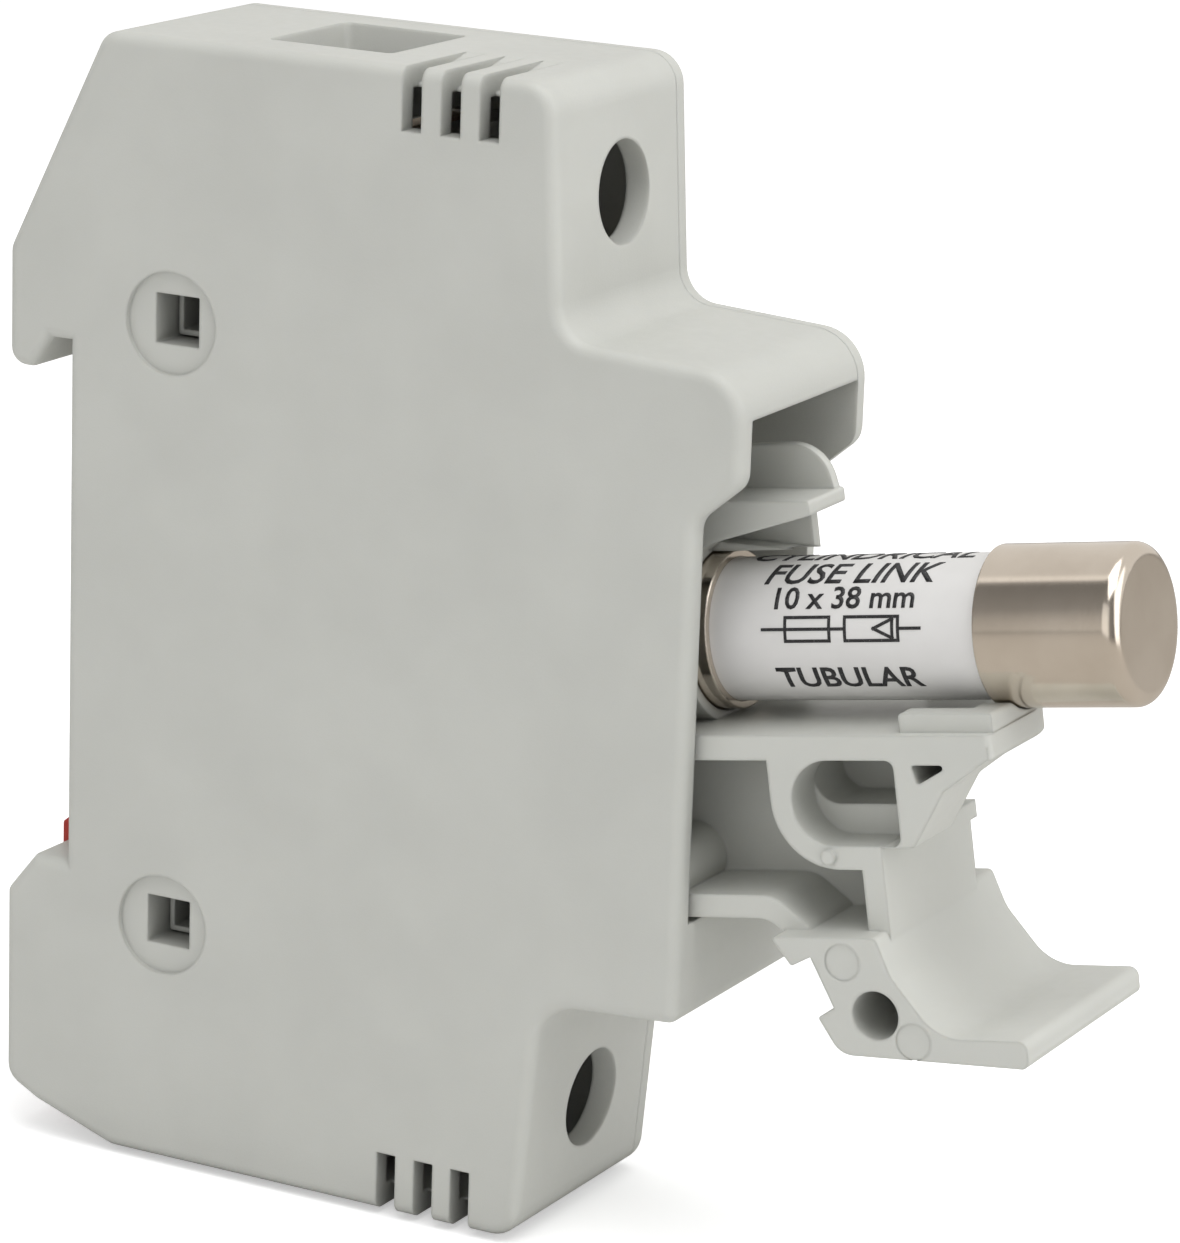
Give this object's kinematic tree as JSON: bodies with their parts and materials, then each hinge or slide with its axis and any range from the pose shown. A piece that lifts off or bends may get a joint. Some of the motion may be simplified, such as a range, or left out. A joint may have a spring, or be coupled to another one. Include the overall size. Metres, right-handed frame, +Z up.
{
  "type": "cartridge fuse holder",
  "caption": "Hinged cartridge fuse holder for a 35 mm rail, shown open: narrow housing with clip-on cover, swinging carrier, cylindrical fuse, clamp terminals and rail latch.",
  "frame": {"origin": "middle of the rail slot, on the face that sits on the rail, in the middle of the width", "axes": "+X across the width towards the clip-on cover, -Y out of the panel towards the user, +Z up along the face from the lower to the upper terminal"},
  "size_m": [0.018, 0.0798, 0.0768],
  "materials": {
    "housing_plastic": "fine spark-eroded moulding, light warm grey",
    "carrier_plastic": "smooth moulding, light warm grey",
    "ceramic": "fine white ceramic",
    "nickel": "drawn, nickel plated, warm",
    "silver": "thin silvered strip",
    "sand": "packed quartz sand",
    "copper": "tinned copper alloy",
    "steel": "zinc plated",
    "spring_steel": "blued spring steel",
    "latch_plastic": "red moulding"
  },
  "bodies": {
    "housing": {"main_housing": "housing_plastic", "side_cover": "housing_plastic", "hinge_pin": "steel", "upper_contact_clip": "copper", "lower_contact_clip": "copper", "upper_clip_spring": "spring_steel", "lower_clip_spring": "spring_steel", "upper_busbar": "copper", "lower_busbar": "copper", "contact_rivets": "copper", "latch_spring": "spring_steel"},
    "carrier": {"fuse_carrier": "carrier_plastic"},
    "fuse": {"fuse_tube": "ceramic", "fuse_cap_outer": "nickel", "fuse_cap_inner": "nickel", "fuse_element": "silver", "fuse_filling": "sand"},
    "upper_screw": {"upper_terminal_screw": "steel"},
    "upper_cage": {"upper_terminal_cage": "steel"},
    "lower_screw": {"lower_terminal_screw": "steel"},
    "lower_cage": {"lower_terminal_cage": "steel"},
    "latch": {"rail_latch": "latch_plastic"}
  },
  "joints": [
    {"name": "carrier_hinge", "type": "hinge", "parent": "housing", "child": "carrier", "pos_m": [0, -0.044, -0.012], "axis": [-1, 0, 0], "range_deg": [0, 80.47]},
    {"name": "fuse_withdrawal", "type": "slide", "parent": "carrier", "child": "fuse", "axis": [0, -0.9862, 0.1656], "range_m": [0, 0.0785]},
    {"name": "upper_screw_turn", "type": "hinge", "parent": "housing", "child": "upper_screw", "pos_m": [0, -0.0304, 0.03065], "axis": [0, 1, 0], "range_deg": [0, 1575]},
    {"name": "upper_clamp", "type": "slide", "parent": "housing", "child": "upper_cage", "axis": [0, -1, 0], "range_m": [0, 0.0035]},
    {"name": "lower_screw_turn", "type": "hinge", "parent": "housing", "child": "lower_screw", "pos_m": [0, -0.0304, -0.03065], "axis": [0, 1, 0], "range_deg": [0, 1575]},
    {"name": "lower_clamp", "type": "slide", "parent": "housing", "child": "lower_cage", "axis": [0, -1, 0], "range_m": [0, 0.0035]},
    {"name": "rail_latch_slide", "type": "slide", "parent": "housing", "child": "latch", "axis": [0, 0, -1], "range_m": [0, 0.003], "stiffness_N_per_m": 600, "springref_m": -0.0005, "deforming": ["latch_spring"]}
  ],
  "couplings": [
    {"joint": "carrier_hinge", "follows": "fuse_withdrawal", "rad_per_m": 17.891},
    {"joint": "upper_screw_turn", "follows": "upper_clamp", "rad_per_m": 7854},
    {"joint": "lower_screw_turn", "follows": "lower_clamp", "rad_per_m": 7854}
  ]
}
